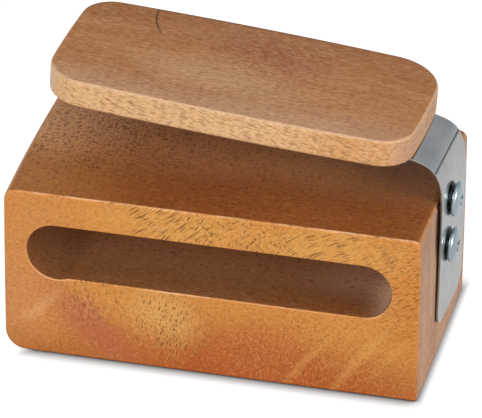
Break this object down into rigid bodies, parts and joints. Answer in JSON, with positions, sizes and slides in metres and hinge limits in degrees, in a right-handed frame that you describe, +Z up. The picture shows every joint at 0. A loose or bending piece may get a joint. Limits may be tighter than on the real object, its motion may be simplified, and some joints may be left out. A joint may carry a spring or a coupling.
{
  "type": "wood block",
  "caption": "Hand wood block: a slotted hardwood body with a thin wooden clapper carried over its top on a bent spring steel strip.",
  "frame": {"origin": "on the ground, under the middle of the block's underside", "axes": "+X along the block to the end with the strip, -Y out of the slotted front, +Z up through the clapper"},
  "size_m": [0.1462, 0.0791, 0.093],
  "materials": {
    "block_wood": "sanded and oiled hardwood with short dark pores",
    "clapper_wood": "sanded and oiled hardwood board",
    "plated_strip": "bright plated spring steel, bent cold",
    "plated_screws": "bright zinc plate"
  },
  "bodies": {
    "block": {"block_body": "block_wood", "spring_strip": "plated_strip", "end_screw_upper": "plated_screws", "end_screw_lower": "plated_screws"},
    "clapper": {"clapper_board": "clapper_wood", "clapper_screw_outer": "plated_screws", "clapper_screw_inner": "plated_screws"}
  },
  "joints": [
    {"name": "clapper_swing", "type": "hinge", "parent": "block", "child": "clapper", "pos_m": [0.069, 0.003, 0.071], "axis": [-0.0471, -0.9989, 0], "range_deg": [-5, 9.5], "stiffness_Nm_per_rad": 3.5, "springref_deg": -0.56, "deforming": ["spring_strip"]}
  ]
}
